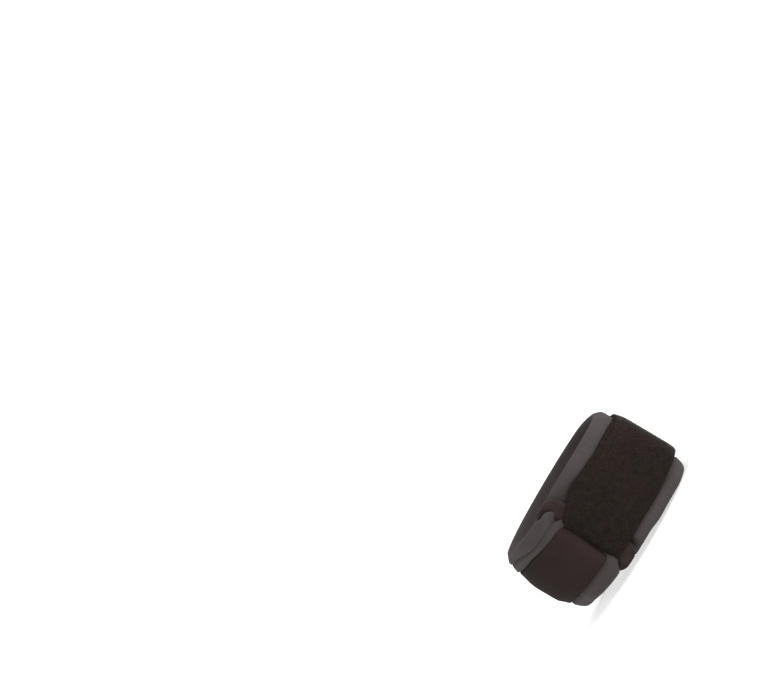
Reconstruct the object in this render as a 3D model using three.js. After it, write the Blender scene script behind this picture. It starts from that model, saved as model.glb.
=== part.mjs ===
// Forearm brace in its fastened, worn form: a padded band closed round an open hollow
// by a strap that runs through a ring and doubles back on itself.
// It stands on its elbow-side rim. Millimetres, +Z along the forearm towards the hand,
// -Y on the side of the ring.
//
// Angles are degrees round the hollow: 0 at +X, 90 at -Y, 180 or -180 at -X, -90 at +Y.
// Lifts are heights above the oval wall of the hollow, measured outwards.

import * as THREE from "three";
import { mergeVertices } from "three/addons/utils/BufferGeometryUtils.js";

const { degToRad, lerp, smoothstep } = THREE.MathUtils;

// Driving sizes

const GAP = 0.3; // clearance between pieces that touch

const HOLLOW = { halfAcross: 37.5, halfDeep: 40.5 };

const FOAM = {
  width: 50.8,
  thick: 5.1, // at the middle of its width
  undersideThick: 6.6,
  crown: 1.1, // fall of the outer face from the middle to its shoulders
  shoulder: 23.4, // distance of the shoulders from the middle
  handCorners: { outer: 2.2, inner: 1.4 },
  elbowCorners: { outer: 1.5, inner: 0.9 }, // tighter, so that this rim stands flat
  foldThick: 2.8, // squeezed round the ring's lower bar
  returnThick: 2.2, // turned back inside, against the arm
};

// Offsets are towards the hand. The lower strap has its own at the underside and at the ring;
// from the underside on it is narrower on the elbow side, and at the ring on both sides.
const LOWER_STRAP = {
  width: 28.6,
  thick: 1.0,
  startAngle: -33,
  foldShare: 0.6,
  underside: { from: -110, full: -175, offset: 1.3, elbowInset: 1.3 },
  neck: { from: -216, full: -246, offset: 0.75, handInset: 1.3 },
};

const CLOSURE = {
  width: 36.5,
  thick: 1.1,
  offset: 0.4,
  sewnAngle: -30,
  flapEndAngle: -52,
  endCorner: 5,
};

const RING = {
  length: 48.3,
  bar: 3.4, // the two long bars
  post: 4.6, // the two short ends
  thick: 3.0,
  round: 1.0, // rounding of the bars' edges
  outerCorner: 6.5,
  innerCorner: 0.8,
  offset: 1.2,
  upperBar: { angle: 96.5, lift: 5.7 },
  lowerBar: { angle: 114.5, lift: 3.4 },
};

// The closure strap leaves the band at this angle to reach the ring, and its loop
// round the upper bar has these half sizes.
const LOOP = { leaveAngle: 70, reach: 6.2, halfHeight: 2.45 };

// The band from its thin upper end, over the top, round the back to the underside
const BAND_ROWS = [
  { angle: 103, thick: 2.4, steps: 4 },
  { angle: 91, thick: 2.4, steps: 4 },
  { angle: 72, thick: FOAM.thick, steps: 33 },
  { angle: -90, thick: FOAM.thick, steps: 18 },
  { angle: -180, thick: FOAM.undersideThick, steps: 4 },
  { angle: -202, thick: FOAM.undersideThick, steps: 0 },
];

// On the elbow side the band is narrower in its lower quarter and towards its upper end.
const LOWER_QUARTER = { from: -120, full: -185, elbowInset: 5.2, easing: -225, atRing: 4.6 };
const UPPER_END = { from: 66, full: 92, elbowInset: 1.5, corner: 3 };

// Both rims turn in at the underside.
const CURL = {
  from: -115,
  full: -160,
  easing: -200,
  gone: -236,
  hand: { start: 9, slope: 0.11 },
  elbow: { start: 6.5, slope: 0.2 },
};

// The band's lower end: it rises to the ring's lower bar, folds round it and turns back
const RISE = { steps: 12, handInset: 1.3 };
// As shares of the half turn: where the fold's inner face is down in the ring's slot, and
// between which places its outer face narrows from above the ring's posts into the slot
const FOLD = { steps: 16, clearRadius: 2.2, innerInSlot: 0.2, outerLeaves: 0.1, outerInSlot: 0.38 };
const RETURN = { steps: 6, endAngle: 141 };

// A long crease in the hand-side margin, deepest half way up the rise
const CREASE = { across: 19.5, depth: 0.9 };

// Lines along the faces where the crown and the curl have a corner of the polygon
const FACE_LINES = [CREASE.across, 13, 7, 0, -7, -13, -CREASE.across];

// The way round the hollow

function around(angle, lift) {
  const turn = degToRad(angle);
  return new THREE.Vector2(
    (HOLLOW.halfAcross + lift) * Math.cos(turn),
    -(HOLLOW.halfDeep + lift) * Math.sin(turn),
  );
}

function outwardAt(angle) {
  const turn = degToRad(angle);
  return new THREE.Vector2(
    Math.cos(turn) / HOLLOW.halfAcross,
    -Math.sin(turn) / HOLLOW.halfDeep,
  ).normalize();
}

// Half a turn round a bar: from its far side (start) over its tip to the other side (end),
// as heights along the bar's outward direction
function foldPoint(bar, share, reach, start, end) {
  const turn = Math.PI * share;
  const outward = outwardAt(bar.angle);
  const towardsOtherBar = new THREE.Vector2(-outward.y, outward.x);
  if (bar === RING.upperBar) towardsOtherBar.negate();
  const height = lerp(start, end, (1 - Math.cos(turn)) / 2);
  return around(bar.angle, bar.lift)
    .addScaledVector(towardsOtherBar, reach * Math.sin(turn))
    .addScaledVector(outward, height);
}

// Gives each station the direction square to its strip; it points outwards where the
// strip runs towards smaller angles.
function withNormals(stations) {
  stations.forEach((station, i) => {
    const before = stations[Math.max(i - 1, 0)].middle;
    const after = stations[Math.min(i + 1, stations.length - 1)].middle;
    const along = after.clone().sub(before).normalize();
    station.normal = new THREE.Vector2(along.y, -along.x);
  });
  return stations;
}

// Fall of the band's outer face at a distance from the middle of its width
function crownFall(across) {
  return FOAM.crown * (across / FOAM.shoulder) ** 4;
}

// How far the rims turn in at the underside, at a distance from the middle of the width
function curlIn(place) {
  const hand = CURL.hand.slope * Math.max(place - CURL.hand.start, 0);
  const elbow = CURL.elbow.slope * Math.max(-place - CURL.elbow.start, 0);
  return hand + elbow;
}

function curlAt(angle) {
  const turnedIn = smoothstep(-angle, -CURL.from, -CURL.full);
  return turnedIn * (1 - smoothstep(-angle, -CURL.easing, -CURL.gone));
}

// Inset of a rounded corner at a distance from the end of a strip
function cornerInset(fromEnd, corner) {
  const short = Math.max(corner - fromEnd, 0);
  return corner - Math.sqrt(corner ** 2 - short ** 2);
}

// Inset of the band's elbow-side rim
function elbowInset(angle) {
  const upper = smoothstep(angle, UPPER_END.from, UPPER_END.full);
  const lower = smoothstep(-angle, -LOWER_QUARTER.from, -LOWER_QUARTER.full);
  const atRing = smoothstep(-angle, -LOWER_QUARTER.easing, 360 - RING.lowerBar.angle);
  const belowRing = lerp(LOWER_QUARTER.elbowInset * lower, LOWER_QUARTER.atRing, atRing);
  return UPPER_END.elbowInset * upper + belowRing;
}

// A strip is cut straight, one unit long for each station, and then wrapped: its width
// goes along Z and its thickness along each station's normal. A station's hand and elbow
// values are the insets of that side, at the inner and at the outer face.
function wrapStrip(section, cut, stations) {
  const last = stations.length - 1;
  const strip = new THREE.ExtrudeGeometry(section, {
    depth: last,
    steps: last,
    bevelEnabled: false,
    curveSegments: 3,
  });
  const corners = strip.getAttribute("position");
  for (let i = 0; i < corners.count; i += 1) {
    const across = corners.getX(i);
    const through = corners.getY(i);
    const station = stations[Math.round(corners.getZ(i))];
    const insets = across > 0 ? station.hand : station.elbow;
    const inset = lerp(...insets, through / cut.thick + 0.5);
    const place = across * (1 - (2 * inset) / cut.width) + station.offset;
    const creased = through > 0 && across === CREASE.across ? station.crease : 0;
    const fall = creased + station.crown * crownFall(place) + station.curl * curlIn(place);
    const height = (through / cut.thick) * station.thick - fall;
    corners.setXYZ(
      i,
      station.middle.x + station.normal.x * height,
      station.middle.y + station.normal.y * height,
      FOAM.width / 2 + place,
    );
  }
  strip.deleteAttribute("normal");
  strip.deleteAttribute("uv");
  const closed = mergeVertices(strip, 1e-4);
  closed.computeVertexNormals();
  return closed;
}

// Foam band

// Cross-section: flat inside, crowned outside, round rims; the elbow side is at negative x
function foamSection() {
  const side = FOAM.width / 2;
  const inner = -FOAM.thick / 2;
  const shoulder = FOAM.thick / 2 - FOAM.crown;
  const hand = FOAM.handCorners;
  const elbow = FOAM.elbowCorners;
  const section = new THREE.Shape();
  section.moveTo(-side + elbow.inner, inner);
  FACE_LINES.toReversed().forEach((across) => section.lineTo(across, inner));
  section.lineTo(side - hand.inner, inner);
  section.quadraticCurveTo(side, inner, side, inner + hand.inner);
  section.lineTo(side, shoulder - hand.outer);
  section.quadraticCurveTo(side, shoulder, side - hand.outer, shoulder);
  FACE_LINES.forEach((across) => {
    section.lineTo(across, FOAM.thick / 2 - crownFall(across));
  });
  section.lineTo(-side + elbow.outer, shoulder);
  section.quadraticCurveTo(-side, shoulder, -side, shoulder - elbow.outer);
  section.lineTo(-side, inner + elbow.inner);
  section.quadraticCurveTo(-side, inner, -side + elbow.inner, inner);
  return section;
}

function foamStations() {
  const stations = [];
  const add = (middle, thick, angle, hand, elbow, crease = 0) => {
    const curl = angle === null ? 0 : curlAt(angle);
    stations.push({ middle, thick, angle, hand, elbow, crease, curl, crown: 0, offset: 0 });
  };

  BAND_ROWS.slice(0, -1).forEach((row, i) => {
    const next = BAND_ROWS[i + 1];
    for (let step = 0; step < row.steps; step += 1) {
      const share = step / row.steps;
      const angle = lerp(row.angle, next.angle, share);
      const thick = lerp(row.thick, next.thick, smoothstep(share, 0, 1));
      const fromEnd = degToRad(BAND_ROWS[0].angle - angle) * HOLLOW.halfDeep;
      const corner = cornerInset(fromEnd, UPPER_END.corner);
      const elbow = corner + elbowInset(angle);
      add(around(angle, thick / 2), thick, angle, [corner, corner], [elbow, elbow]);
    }
  });

  const foot = BAND_ROWS[BAND_ROWS.length - 1];
  const barAngle = RING.lowerBar.angle - 360;
  const overBar = RING.lowerBar.lift + FOLD.clearRadius;
  for (let step = 0; step < RISE.steps; step += 1) {
    const share = step / RISE.steps;
    const eased = smoothstep(share, 0, 1);
    const angle = lerp(foot.angle, barAngle, share);
    const thick = lerp(foot.thick, FOAM.foldThick, eased);
    const inner = overBar * eased;
    const crease = CREASE.depth * Math.sin(Math.PI * share);
    const hand = RISE.handInset * share ** 2;
    const elbow = elbowInset(angle);
    add(around(angle, inner + thick / 2), thick, angle, [hand, hand], [elbow, elbow], crease);
  }

  // Inside the slot the fold clears the ring's posts.
  const slotInset = (FOAM.width - RING.length) / 2 + RING.post + GAP;
  const slotHand = slotInset - RING.offset;
  const slotElbow = slotInset + RING.offset;
  const startHeight = FOLD.clearRadius + FOAM.foldThick / 2;
  const endHeight = -(FOLD.clearRadius + FOAM.returnThick / 2);
  for (let step = 0; step < FOLD.steps; step += 1) {
    const share = step / FOLD.steps;
    const middle = foldPoint(RING.lowerBar, share, startHeight, startHeight, endHeight);
    const thick = lerp(FOAM.foldThick, FOAM.returnThick, smoothstep(share, 0.5, 1));
    const innerDown = smoothstep(share, 0, FOLD.innerInSlot);
    const outerDown = smoothstep(share, FOLD.outerLeaves, FOLD.outerInSlot);
    const hand = [innerDown, outerDown].map((down) => lerp(RISE.handInset, slotHand, down));
    const elbow = [innerDown, outerDown].map((down) => lerp(LOWER_QUARTER.atRing, slotElbow, down));
    const angle = share <= LOWER_STRAP.foldShare ? barAngle : null;
    add(middle, thick, angle, hand, elbow);
  }

  const returnLift = RING.lowerBar.lift + endHeight;
  for (let step = 0; step <= RETURN.steps; step += 1) {
    const angle = lerp(RING.lowerBar.angle, RETURN.endAngle, step / RETURN.steps);
    const [hand, elbow] = [[slotHand, slotHand], [slotElbow, slotElbow]];
    add(around(angle, returnLift), FOAM.returnThick, null, hand, elbow);
  }
  return withNormals(stations);
}

// Straps

function strapSection(cut) {
  const side = cut.width / 2;
  const face = cut.thick / 2;
  const lines = FACE_LINES.filter((across) => Math.abs(across) < side - 0.5);
  const outline = [
    ...[side, ...lines, -side].map((across) => new THREE.Vector2(across, face)),
    ...[-side, ...lines.toReversed(), side].map((across) => new THREE.Vector2(across, -face)),
  ];
  return new THREE.Shape(outline);
}

// Follows the band's outer face from behind the top to the tip of the fold at the ring
function lowerStrapStations(band) {
  const { underside, neck } = LOWER_STRAP;
  return band
    .filter((station) => station.angle !== null && station.angle <= LOWER_STRAP.startAngle)
    .map((station) => {
      const lift = station.thick / 2 + GAP + LOWER_STRAP.thick / 2;
      const below = smoothstep(-station.angle, -underside.from, -underside.full);
      const atNeck = smoothstep(-station.angle, -neck.from, -neck.full);
      const hand = neck.handInset * atNeck;
      const elbow = underside.elbowInset * below;
      return {
        middle: station.middle.clone().addScaledVector(station.normal, lift),
        normal: station.normal,
        thick: LOWER_STRAP.thick,
        hand: [hand, hand],
        elbow: [elbow, elbow],
        crease: 0,
        curl: station.curl,
        crown: station.thick / FOAM.thick,
        offset: lerp(underside.offset * below, neck.offset, atNeck),
      };
    });
}

// Sewn leg up to the ring, loop round its upper bar, then the flap back over the top.
// The sewn leg runs towards larger angles, so its normals point inwards and its crown is negative.
function closureStations() {
  const { upperBar } = RING;
  const sewnLift = FOAM.thick + GAP + CLOSURE.thick / 2;
  const flapLift = sewnLift + CLOSURE.thick + GAP;
  const degreesPerStep = 5;
  const stations = [];
  const add = (middle, crown, inset = 0) => {
    const { thick, offset } = CLOSURE;
    const [hand, elbow] = [[inset, inset], [inset, inset]];
    stations.push({ middle, thick, hand, elbow, crease: 0, curl: 0, crown, offset });
  };

  const layLeg = (from, to, onBand, atBar, crownSide) => {
    const steps = Math.round(Math.abs(to - from) / degreesPerStep);
    for (let step = 0; step <= steps; step += 1) {
      const angle = lerp(from, to, step / steps);
      const off = smoothstep(angle, LOOP.leaveAngle, upperBar.angle);
      add(around(angle, lerp(onBand, atBar, off)), crownSide * (1 - off));
    }
  };

  const underBar = upperBar.lift - LOOP.halfHeight;
  const overBar = upperBar.lift + LOOP.halfHeight;
  const loopSteps = 12;
  const cornerSteps = 4;
  layLeg(CLOSURE.sewnAngle, upperBar.angle, sewnLift, underBar, -1);
  for (let step = 1; step < loopSteps; step += 1) {
    const share = step / loopSteps;
    add(foldPoint(upperBar, share, LOOP.reach, -LOOP.halfHeight, LOOP.halfHeight), 0);
  }
  const { endCorner, flapEndAngle } = CLOSURE;
  const degreesPerMm = 180 / Math.PI / (HOLLOW.halfAcross + flapLift);
  layLeg(upperBar.angle, flapEndAngle + endCorner * degreesPerMm, flapLift, overBar, 1);
  for (let step = 1; step <= cornerSteps; step += 1) {
    const turn = (Math.PI / 2) * (step / cornerSteps);
    const fromEnd = endCorner * (1 - Math.sin(turn));
    const inset = endCorner * (1 - Math.cos(turn));
    add(around(flapEndAngle + fromEnd * degreesPerMm, flapLift), 1, inset);
  }
  return withNormals(stations);
}

// Ring

function roundedRectangle(Outline, length, height, corner) {
  const x = length / 2;
  const y = height / 2;
  const outline = new Outline();
  outline.moveTo(-x + corner, -y);
  outline.lineTo(x - corner, -y);
  outline.absarc(x - corner, -y + corner, corner, -Math.PI / 2, 0);
  outline.lineTo(x, y - corner);
  outline.absarc(x - corner, y - corner, corner, 0, Math.PI / 2);
  outline.lineTo(-x + corner, y);
  outline.absarc(-x + corner, y - corner, corner, Math.PI / 2, Math.PI);
  outline.lineTo(-x, -y + corner);
  outline.absarc(-x + corner, -y + corner, corner, Math.PI, 1.5 * Math.PI);
  return outline;
}

function ringGeometry(barSpacing) {
  const { length, bar, post, thick, round, outerCorner, innerCorner } = RING;
  const height = barSpacing + bar;
  const outline = roundedRectangle(
    THREE.Shape,
    length - 2 * round,
    height - 2 * round,
    outerCorner - round,
  );
  const hole = roundedRectangle(
    THREE.Path,
    length - 2 * post + 2 * round,
    height - 2 * bar + 2 * round,
    innerCorner + round,
  );
  outline.holes.push(hole);
  const depth = thick - 2 * round;
  const solid = new THREE.ExtrudeGeometry(outline, {
    depth,
    bevelEnabled: true,
    bevelThickness: round,
    bevelSize: round,
    bevelSegments: 3,
    curveSegments: 5,
  });
  return solid.translate(0, 0, -depth / 2);
}

function placeRing(ring, upper, lower) {
  const down = lower.clone().sub(upper).normalize();
  const across = new THREE.Vector3(0, 0, 1);
  const along = new THREE.Vector3(down.x, down.y, 0);
  const outward = new THREE.Vector3().crossVectors(across, along);
  ring.quaternion.setFromRotationMatrix(new THREE.Matrix4().makeBasis(across, along, outward));
  const height = FOAM.width / 2 + RING.offset;
  ring.position.set((upper.x + lower.x) / 2, (upper.y + lower.y) / 2, height);
}

// Assembly

function piece(name, geometry, color, roughness) {
  const mesh = new THREE.Mesh(
    geometry,
    new THREE.MeshStandardMaterial({ color, roughness, metalness: 0 }),
  );
  mesh.name = name;
  return mesh;
}

const band = foamStations();
const upper = around(RING.upperBar.angle, RING.upperBar.lift);
const lower = around(RING.lowerBar.angle, RING.lowerBar.lift);

const foamBand = piece("foam_band", wrapStrip(foamSection(), FOAM, band), 0x4e494b, 0.9);
const lowerStrap = piece(
  "lower_strap",
  wrapStrip(strapSection(LOWER_STRAP), LOWER_STRAP, lowerStrapStations(band)),
  0x332a28,
  0.7,
);
const closureStrap = piece(
  "closure_strap",
  wrapStrip(strapSection(CLOSURE), CLOSURE, closureStations()),
  0x2a2522,
  0.95,
);
const ringLoop = piece("ring_loop", ringGeometry(upper.distanceTo(lower)), 0x262322, 0.5);
placeRing(ringLoop, upper, lower);

const brace = new THREE.Group();
brace.add(foamBand, lowerStrap, closureStrap, ringLoop);

// The origin is at the middle of the footprint, on the surface that the brace stands on.
const footprint = new THREE.Box3().setFromObject(brace, true);
const middle = footprint.getCenter(new THREE.Vector3());
brace.children.forEach((child) => {
  child.position.x -= middle.x;
  child.position.y -= middle.y;
  child.position.z -= footprint.min.z;
});

export default brace;
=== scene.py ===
"""Finished look of a forearm brace: a padded knit band, closed by a brushed strap through a ring.

Sizes are millimetres and angles degrees, as in the part's source, and meshes are built in metres in
the part's frame: +Z towards the hand, -Y on the side of the ring, standing on the elbow-side rim.
Angles run round the hollow: 0 at +X, 90 at -Y, 180 or -180 at -X, -90 at +Y.
A strip's own directions are along it, across its width (towards the hand is positive) and through
its thickness (outwards is positive).
"""

import math

import bmesh
import bpy
import numpy as np
from mathutils import Matrix, Vector, noise


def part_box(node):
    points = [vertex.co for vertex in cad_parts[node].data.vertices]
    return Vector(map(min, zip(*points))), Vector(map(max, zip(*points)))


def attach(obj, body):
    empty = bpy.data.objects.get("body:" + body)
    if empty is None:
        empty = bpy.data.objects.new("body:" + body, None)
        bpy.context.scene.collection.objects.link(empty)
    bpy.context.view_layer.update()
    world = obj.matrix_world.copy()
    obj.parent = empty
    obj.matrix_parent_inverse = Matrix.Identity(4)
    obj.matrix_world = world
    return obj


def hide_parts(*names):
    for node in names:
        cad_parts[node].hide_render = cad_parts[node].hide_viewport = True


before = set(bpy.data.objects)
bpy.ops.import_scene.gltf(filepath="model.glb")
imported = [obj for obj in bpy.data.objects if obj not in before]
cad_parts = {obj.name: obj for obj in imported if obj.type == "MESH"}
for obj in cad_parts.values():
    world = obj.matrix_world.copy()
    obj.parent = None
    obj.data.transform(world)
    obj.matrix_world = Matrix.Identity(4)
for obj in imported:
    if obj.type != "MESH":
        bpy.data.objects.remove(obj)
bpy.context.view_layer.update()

MM = 0.001
UV_SPAN = 400.0  # millimetres of cloth to one unit of the cut's UV map

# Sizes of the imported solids

GAP = 0.3

HOLLOW_ACROSS = 37.5
HOLLOW_DEEP = 40.5

BAND_WIDTH = 50.8
BAND_THICK = 5.1
BAND_CROWN = 1.1
BAND_SHOULDER = 23.4
BAND_ROWS = {"angle": [103, 91, 72, -90, -180, -202], "thick": [2.4, 2.4, 5.1, 5.1, 6.6, 6.6]}
BAND_START = BAND_ROWS["angle"][0]
RISE_START = BAND_ROWS["angle"][-1]
UPPER_END_CORNER = 3.0
HAND_NECK_INSET = 1.3
ELBOW_INSETS = {"underside": 5.2, "ring": 4.6}
HAND_CURL = {"start": 9.0, "slope": 0.11}  # rims of the lower quarter turned in
ELBOW_CURL = {"start": 6.5, "slope": 0.2}
FOLD_THICK = 2.8
FOLD_CLEAR_RADIUS = 2.2
RETURN_THICK = 2.2
RETURN_END_ANGLE = 141.0

LOWER_STRAP_WIDTH = 28.6
LOWER_STRAP_OFFSETS = {"underside": 1.3, "ring": 0.75}  # towards the hand
LOWER_STRAP_INSETS = {"hand": 1.3, "elbow": 1.3}
LOWER_STRAP_START = -33.0
LOWER_STRAP_FOLD_SHARE = 0.6

CLOSURE_WIDTH = 36.5
CLOSURE_OFFSET = 0.4  # towards the hand
CLOSURE_SEWN_LIFT = 5.95
CLOSURE_FLAP_LIFT = 7.35
CLOSURE_SEWN_ANGLE = -30.0
CLOSURE_END_ANGLE = -52.0
CLOSURE_END_CORNER = 5.0
LOOP_LEAVE_ANGLE = 70.0
LOOP_REACH = 6.2
LOOP_HALF_HEIGHT = 2.45

RING_LENGTH = 48.3
RING_OFFSET = 1.2  # towards the hand
RING_BAR = 3.4
RING_POST = 4.6
RING_THICK = 3.0
RING_OUTER_CORNER = 6.5
RING_INNER_CORNER = 0.8
UPPER_BAR = {"angle": 96.5, "lift": 5.7}
LOWER_BAR = {"angle": 114.5, "lift": 3.4}
SLOT_INSET = (BAND_WIDTH - RING_LENGTH) / 2 + RING_POST + GAP
SLOT_HAND_INSET = SLOT_INSET - RING_OFFSET
SLOT_ELBOW_INSET = SLOT_INSET + RING_OFFSET

foam_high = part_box("foam_band")[1]
CENTRE_X = foam_high.x / MM - HOLLOW_ACROSS - BAND_THICK
CENTRE_Y = foam_high.y / MM - HOLLOW_DEEP - BAND_THICK

# Where each form begins and where it is complete

LOWER_WAY = {  # past the back and the underside to the ring, in degrees below zero
    "strap_bed": (36, 44),
    "strap_sinks": (60, 150),
    "strap_aside": (110, 175),
    "rims_curl": (115, 160),
    "elbow_drawn_in": (120, 200),
    "crease_opens": (160, 185),
    "crease_nears_strap": (190, 246),
    "rims_uncurl": (200, 236),
    "strap_level": (215, 245),
    "neck": (216, 246),
    "gathers": (222, 243),
    "elbow_at_ring": (225, 245.5),
    "lobes": (232, 245),
}
UPPER_WAY = {  # from behind the top down to the ring, in degrees
    "hand_drawn_in": (-45, 0),
    "flap_edge_sinks": (10, 40),
    "elbow_rim_up": (15, 50),
    "hand_let_out": (20, 85),
    "hand_rim_down": (25, 60),
    "elbow_side_in": (30, 65),
    "margin_pushed_up": (45, 78),
    "elbow_end_in": (68, 84),
    "margin_filled_out": (70, 76),
    "strap_off_band": (LOOP_LEAVE_ANGLE, UPPER_BAR["angle"]),
    "tongue": (90, 95.5),
}
FOLD_WAY = {  # round a bar of the ring, in shares of the half turn
    "inner_in_slot": (0, 0.2),
    "inner_lobe": (0.05, 0.3),
    "aslant": (0.05, 0.5),
    "elbow_in_slot": (0.1, 0.38),
    "hand_in_slot": (0.3, 0.5),
    "relief_ends": (0.35, 0.6),
    "lobes_end": (0.4, 0.7),
    "thin": (0.5, 1),
    "level_again": (0.7, 1),
    "flap": (0.9, 1),
}

# Sizes that only the finished look has

STATIONS = {"round": 400, "rise": 70, "fold": 70, "return": 40, "leg": 260, "loop": 80}
CLOTH_SPACING = 0.8  # of a strip's grid
END_THIN = 0.25  # share of its thickness that a strip has at its very end
LOWER_STRAP_THICK = 1.1
CLOSURE_THICK = 1.25
STRAP_CLEARANCE = 0.1
BAND_SECTION = {
    "width": BAND_WIDTH,
    "rim": 2.4,
    "end_round": 1.2,
    "outer_count": 110,
    "inner_count": 34,
    "rim_count": 10,
}
LOWER_STRAP_SECTION = {
    "width": LOWER_STRAP_WIDTH,
    "rim": 0.5,
    "end_round": 0.5,
    "outer_count": 60,
    "inner_count": 24,
    "rim_count": 6,
}
CLOSURE_SECTION = {
    "width": CLOSURE_WIDTH,
    "rim": 0.55,
    "end_round": 0.6,
    "outer_count": 62,
    "inner_count": 40,
    "rim_count": 6,
}

UPPER_HAND_INSET = 1.3
UPPER_ELBOW_INSETS = {"side": 1.0, "end": 1.0}
FLAP_HAND_INSETS = {
    "angle": [97, 92, 87, 81, 76, 66, 57, 46, 34, 19, -5, -40],
    "inset": [2.4, 1.3, 0.0, -0.3, 0.4, 1.0, 1.6, 1.6, 1.9, 2.7, 2.6, 1.0],
}
FLAP_TIP_INSET = 2.4  # added where it is folded round the ring
SEWN_LEG_INSET = 1.0  # at least
SEWN_LEG_HIDDEN = 0.5  # added, so that it doesn't show beside the flap
CLOSURE_ELBOW_INSET = 0.8

STRAP_SUNK = {"middle": 0.25, "hand": 1.05, "elbow": 0.75}  # edges deeper than the middle
STRAP_LEVEL_SHARE = 0.6  # share of that depth which is gone at the ring
FLAP_SUNK = {"hand": 0.8, "elbow": 0.6}
FLAP_SINKS = {"hand": (10, 18), "elbow": (16, 18.5)}  # distances from its middle
FLAP_EDGE_SUNK = 0.5  # added along its hand-side edge
FLAP_WAVE = 0.2
FLAP_RIPPLE = 0.12
LOOP_SAG = 0.3
MARGIN_STEP = (-0.8, 0.7)  # beside the flap's edge, where the hand-side margin begins
MARGIN_RIM = 24.9
MARGINS_FULL = {"lower": 0.6, "upper": 0.25}
RIMS_ROUNDER = {"hand": 0.5, "hand_rim": 1.6, "elbow": 0.2}  # where they curl
HAND_RIM_UP = 0.55
ELBOW_RIM_UP = {"back": -0.5, "front": 0.55}
MARGIN_PUSHED_UP = 1.7  # on the elbow side, beside the ring
CREASE = {"depth": 1.6, "width": 0.5, "underside": 20.6, "ring": 18.4, "wander": 0.3, "wave": 5.0}
HEM = {"depth": 0.45, "fold_share": 0.3, "width": 0.035}
SEAM = {"depth": 0.35, "from_strap": 1.9, "width": 0.45}
GATHERS = {"height": 0.16, "turn": 2.1, "sway": 0.6, "wave": 3.0}  # turn in radians to a millimetre
BAND_UNEVEN = 0.16
LOWER_STRAP_UNEVEN = 0.05
FOLD_SLOPE = 1.4  # how much lower the folds at the ring hang on the elbow side
LOBES = {  # of the margins, gathered over the ring
    "outer": {"across": 23.0, "width": 2.2, "height": 1.1, "reach": 3.4},
    "inner": {"across": 15.8, "width": 2.4, "height": 0.9, "reach": 2.4},
    "elbow": {"across": -20.5, "width": 3.0, "height": 0.4, "reach": 1.5},
}

RING_HOLE_CORNER = RING_INNER_CORNER + 1.0
RING_EDGE_ROUND = 1.15

STITCH_START = 2.0  # from the strap's end
STITCH_FOLD_SHARE = 0.12  # where the last one is, round the ring's lower bar
STITCH_FROM_EDGE = 1.3
STITCH_PITCH = 3.3
STITCH_LENGTH = 2.5
STITCH_GROOVE = 0.1
THREAD_RADIUS = 0.2
THREAD_TAPER = 0.35
THREAD_BOW = 0.24
THREAD_SUNK = 0.22

KNIT_WALE = 0.9
KNIT_COURSE = 0.7
WEAVE_RIB = 0.55
WEAVE_PICK = 0.8
WEAVE_PAINTED_LIGHT = (120.0, 165.0)  # along the lower strap: painted shade towards the underside and painted light towards the ring, where it faces the light

NAP_PER_MM2 = 3.4
NAP_LOOP = {"length": 0.9, "width": 0.11, "height": 0.46, "root": 0.08}
NAP_LEAN = 0.5  # radians
NAP_SIZES = (0.65, 1.35)
NAP_CLUMP = 3.0
NAP_TONES = {"own": 0.1, "clump": (0.25, 0.7)}
NAP_SEEDS = {"places": 7, "turns": 11, "sizes": 13, "tones": 17}
NAP_EDGE_SLOPE = 0.3  # share of the ground's slope across the strap that the loops are shaded with
NAP_OUTWARDS = 0.75  # least share of a face's direction that looks outwards, for nap to grow on it
NAP_REDDER_AND_PAINTED_LIGHT = {"X": (8.0 * MM, 38.0 * MM), "Z": (29.0 * MM, 42.0 * MM)}  # to the top and its hand-side edge, where the nap is redder and painted lighter, as if lit from the top

# Camera and light

PICTURE = (760, 675)
MIDDLE_PIXEL = (594.5, 511.9)
PIXEL_MM = 0.4755  # millimetres to a pixel at the middle of the brace
VIEW_DISTANCE = 1400.0
VIEW_ELEVATION = 4.3
VIEW_ROLL = 59.4  # turn of the picture, anticlockwise
KEY_LIGHT = {"place": (0.75, -0.85, 0.25), "energy": 6.0, "size": 0.6}  # metres and watts
KEY_LIGHT_AIM = (0, 0, 0.025)  # metres
STUDIO_LEVELS = (0.9, 1.4)  # of the surroundings, from -X to +X
FLOOR_HALF = 4.0  # metres


# The way round the hollow


def ease(value, low, high):
    """Smooth step from 0 at low to 1 at high."""
    share = np.clip((value - low) / (high - low), 0.0, 1.0)
    return share * share * (3.0 - 2.0 * share)


def lower_way(form, angle):
    """How far a form of the lower way has come at an angle, from 0 to 1."""
    return ease(-angle, *LOWER_WAY[form])


def upper_way(form, angle):
    """How far a form of the upper way has come at an angle, from 0 to 1."""
    return ease(angle, *UPPER_WAY[form])


def fold_way(form, share):
    """How far a form of the folds at the ring has come at a share of the half turn, from 0 to 1."""
    return ease(share, *FOLD_WAY[form])


def mix(a, b, share):
    """From a at a share of 0 to b at a share of 1."""
    return a + (b - a) * share


def hill(value, middle, width):
    """Bell curve that is 1 at its middle."""
    return np.exp(-(((value - middle) / width) ** 2))


def eased_rows(angle, row_angles, row_values):
    """Value at an angle between rows that are given in falling order, eased from row to row."""
    level = np.interp(-angle, -np.array(row_angles, float), np.arange(len(row_angles)))
    start = np.minimum(level.astype(int), len(row_angles) - 2)
    values = np.array(row_values)
    return mix(values[start], values[start + 1], ease(level - start, 0, 1))


def around(angle, lift):
    """A point at that lift above the hollow's oval wall, as x and y arrays."""
    turn = np.radians(angle)
    return (HOLLOW_ACROSS + lift) * np.cos(turn), -(HOLLOW_DEEP + lift) * np.sin(turn)


def outward_at(angle):
    """Direction out of the hollow's wall."""
    turn = math.radians(angle)
    direction = Vector((math.cos(turn) / HOLLOW_ACROSS, -math.sin(turn) / HOLLOW_DEEP))
    return direction.normalized()


def towards_upper_bar(angle):
    """Direction along the wall, from the lower bar of the ring to the upper one."""
    outward = outward_at(angle)
    return Vector((-outward.y, outward.x))


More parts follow.
